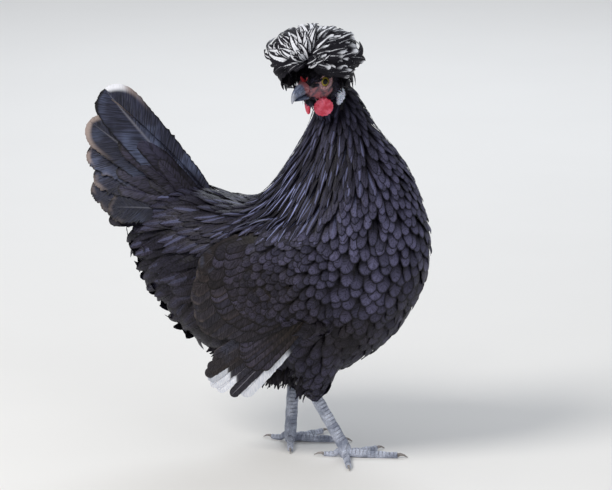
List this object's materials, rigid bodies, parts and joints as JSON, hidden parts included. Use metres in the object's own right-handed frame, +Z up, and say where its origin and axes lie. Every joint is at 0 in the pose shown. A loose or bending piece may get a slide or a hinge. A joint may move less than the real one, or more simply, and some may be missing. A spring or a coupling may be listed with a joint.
{
  "type": "life-size polish crested hen model",
  "caption": "Standing crested hen with its head turned to the side, a globe-shaped crest, a raised fan tail, folded wings with separate flight feathers and bare scaled feet.",
  "frame": {"origin": "on the floor under the middle of the bounding box", "axes": "+X the way the hen's body faces, +Y its left side, +Z up"},
  "size_m": [0.3212, 0.175, 0.3975],
  "materials": {
    "body_feathers": "black contour feathers with a faint violet-blue sheen",
    "neck_feathers": "narrow black hackle feathers with pale shaft streaks",
    "wing_feathers": "brown-black flight feathers, the lowest with white ends",
    "tail_feathers": "broad black tail feathers, the top one with a white end",
    "crest_feathers": "loose mottled black and white crest feathers",
    "face_skin": "bare dull red to purple skin with fine grain",
    "red_skin": "moist red skin of wattles and comb",
    "white_earlobe": "smooth white to pale blue skin",
    "beak": "grey horn, paler at the edges and tip",
    "eyes": "wet eye with a yellow-brown iris and a black pupil",
    "leg_scales": "slate-grey scales with pale edges",
    "claws": "dull dark horn"
  },
  "bodies": {
    "root": {"torso": "body_feathers", "neck": "neck_feathers", "head": "face_skin", "crest": "crest_feathers", "beak_upper": "beak", "beak_lower": "beak", "eye_left": "eyes", "eye_right": "eyes", "comb_left": "red_skin", "comb_right": "red_skin", "wattle_left": "red_skin", "wattle_right": "red_skin", "earlobe_left": "white_earlobe", "earlobe_right": "white_earlobe", "wing_left": "wing_feathers", "wing_right": "wing_feathers", "tail": "tail_feathers", "thigh_left": "body_feathers", "thigh_right": "body_feathers", "shank_left": "leg_scales", "shank_right": "leg_scales", "toe_left_inner": "leg_scales", "claw_left_inner": "claws", "toe_left_middle": "leg_scales", "claw_left_middle": "claws", "toe_left_outer": "leg_scales", "claw_left_outer": "claws", "toe_left_hind": "leg_scales", "claw_left_hind": "claws", "toe_right_inner": "leg_scales", "claw_right_inner": "claws", "toe_right_middle": "leg_scales", "claw_right_middle": "claws", "toe_right_outer": "leg_scales", "claw_right_outer": "claws", "toe_right_hind": "leg_scales", "claw_right_hind": "claws"}
  },
  "joints": []
}
